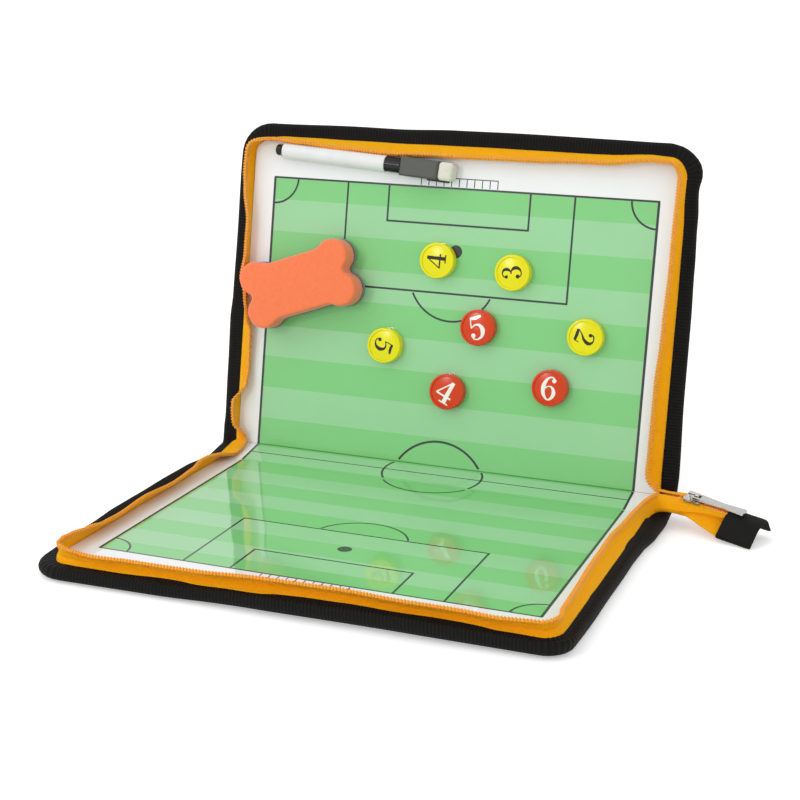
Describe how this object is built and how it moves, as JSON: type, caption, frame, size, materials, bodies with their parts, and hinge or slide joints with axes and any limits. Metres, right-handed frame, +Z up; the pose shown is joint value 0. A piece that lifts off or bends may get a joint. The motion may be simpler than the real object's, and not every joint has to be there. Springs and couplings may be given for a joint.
{
  "type": "tactics board",
  "caption": "Zipped folding tactics board: two padded halves with a printed pitch over steel, a fold-out spine, magnetic counters, a marker pen and a bone-shaped eraser.",
  "frame": {"origin": "middle of the lower half's underside, where the case lies on the table", "axes": "+X along the spine, towards the zip tail; +Y from the lower half towards the upper half; +Z up"},
  "size_m": [0.3728, 0.285, 0.2249],
  "materials": {
    "black_nylon": "matte",
    "black_binding": "matte",
    "fibreboard": "matte",
    "steel_sheet": "satin",
    "printed_pitch": "gloss",
    "filler_foam": "matte",
    "orange_tape": "matte",
    "orange_coil": "satin",
    "black_tab": "satin",
    "zip_metal": "satin",
    "pen_white": "gloss",
    "pen_black": "satin",
    "pen_grey": "satin",
    "pen_wick": "matte",
    "white_felt": "matte",
    "magnet": "matte",
    "eraser_foam": "matte",
    "grey_felt": "matte",
    "counter_yellow": "gloss",
    "counter_red": "gloss"
  },
  "bodies": {
    "lower_half": {"lower_cover": "black_nylon", "lower_edge_binding": "black_binding", "lower_board": "fibreboard", "lower_steel_sheet": "steel_sheet", "lower_pitch_sheet": "printed_pitch", "lower_zip_tape": "orange_tape", "lower_zip_coil": "orange_coil"},
    "spine": {"spine_cover": "black_nylon", "spine_edge_binding": "black_binding", "spine_filler": "filler_foam", "spine_pitch_sheet": "printed_pitch", "spine_zip_tape": "orange_tape", "spine_zip_coil": "orange_coil", "rear_fold_cloth": "black_nylon", "tail_front_tape": "orange_tape", "tail_rear_tape": "orange_tape", "tail_zip_coil": "orange_coil", "tail_end_tab": "black_tab"},
    "upper_half": {"upper_cover": "black_nylon", "upper_edge_binding": "black_binding", "upper_board": "fibreboard", "upper_steel_sheet": "steel_sheet", "upper_pitch_sheet": "printed_pitch", "upper_zip_tape": "orange_tape", "upper_zip_coil": "orange_coil"},
    "zip_slider": {"zip_slider": "zip_metal"},
    "zip_pull": {"zip_pull": "zip_metal"},
    "pen": {"pen_barrel": "pen_white", "pen_end_plug": "pen_black", "pen_collar": "pen_black", "pen_nib": "pen_wick", "pen_ink_core": "pen_wick"},
    "pen_cap": {"pen_cap": "pen_grey", "pen_cap_felt": "white_felt", "pen_cap_magnet": "magnet"},
    "eraser": {"eraser_foam": "eraser_foam", "eraser_felt": "grey_felt", "eraser_magnets": "magnet"},
    "counter_yellow_2": {"counter_yellow_2_shell": "counter_yellow", "counter_yellow_2_face": "counter_yellow", "counter_yellow_2_magnet": "magnet"},
    "counter_yellow_3": {"counter_yellow_3_shell": "counter_yellow", "counter_yellow_3_face": "counter_yellow", "counter_yellow_3_magnet": "magnet"},
    "counter_yellow_4": {"counter_yellow_4_shell": "counter_yellow", "counter_yellow_4_face": "counter_yellow", "counter_yellow_4_magnet": "magnet"},
    "counter_yellow_5": {"counter_yellow_5_shell": "counter_yellow", "counter_yellow_5_face": "counter_yellow", "counter_yellow_5_magnet": "magnet"},
    "counter_red_4": {"counter_red_4_shell": "counter_red", "counter_red_4_face": "counter_red", "counter_red_4_magnet": "magnet"},
    "counter_red_5": {"counter_red_5_shell": "counter_red", "counter_red_5_face": "counter_red", "counter_red_5_magnet": "magnet"},
    "counter_red_6": {"counter_red_6_shell": "counter_red", "counter_red_6_face": "counter_red", "counter_red_6_magnet": "magnet"}
  },
  "joints": [
    {"name": "spine_fold", "type": "hinge", "parent": "lower_half", "child": "spine", "pos_m": [0, 0.1075, 0.0095], "axis": [-1, 0, 0], "range_deg": [-80.6, 9.4]},
    {"name": "cover_fold", "type": "hinge", "parent": "spine", "child": "upper_half", "pos_m": [0, 0.13315, 0.01375], "axis": [-1, 0, 0], "range_deg": [-19, 71], "deforming": ["rear_fold_cloth"]},
    {"name": "slider_run", "type": "slide", "parent": "spine", "child": "zip_slider", "axis": [0.9596, -0.2589, -0.11], "range_m": [0, 0.015]},
    {"name": "pull_swing", "type": "hinge", "parent": "zip_slider", "child": "zip_pull", "pos_m": [0.1708, 0.1192, 0.02027], "axis": [-0.274, -0.9488, -0.1571], "range_deg": [0, 120]},
    {"name": "pen_lift", "type": "slide", "parent": "upper_half", "child": "pen", "axis": [0, -0.986, 0.1668], "range_m": [0, 0.03]},
    {"name": "eraser_lift", "type": "slide", "parent": "upper_half", "child": "eraser", "axis": [0, -0.986, 0.1668], "range_m": [0, 0.03]},
    {"name": "counter_yellow_2_lift", "type": "slide", "parent": "upper_half", "child": "counter_yellow_2", "axis": [0, -0.986, 0.1668], "range_m": [0, 0.03]},
    {"name": "counter_yellow_3_lift", "type": "slide", "parent": "upper_half", "child": "counter_yellow_3", "axis": [0, -0.986, 0.1668], "range_m": [0, 0.03]},
    {"name": "counter_yellow_4_lift", "type": "slide", "parent": "upper_half", "child": "counter_yellow_4", "axis": [0, -0.986, 0.1668], "range_m": [0, 0.03]},
    {"name": "counter_yellow_5_lift", "type": "slide", "parent": "upper_half", "child": "counter_yellow_5", "axis": [0, -0.986, 0.1668], "range_m": [0, 0.03]},
    {"name": "counter_red_4_lift", "type": "slide", "parent": "upper_half", "child": "counter_red_4", "axis": [0, -0.986, 0.1668], "range_m": [0, 0.03]},
    {"name": "counter_red_5_lift", "type": "slide", "parent": "upper_half", "child": "counter_red_5", "axis": [0, -0.986, 0.1668], "range_m": [0, 0.03]},
    {"name": "counter_red_6_lift", "type": "slide", "parent": "upper_half", "child": "counter_red_6", "axis": [0, -0.986, 0.1668], "range_m": [0, 0.03]},
    {"name": "cap_pull", "type": "slide", "parent": "pen", "child": "pen_cap", "axis": [0.9978, -0.0111, -0.0653], "range_m": [0, 0.035]}
  ]
}
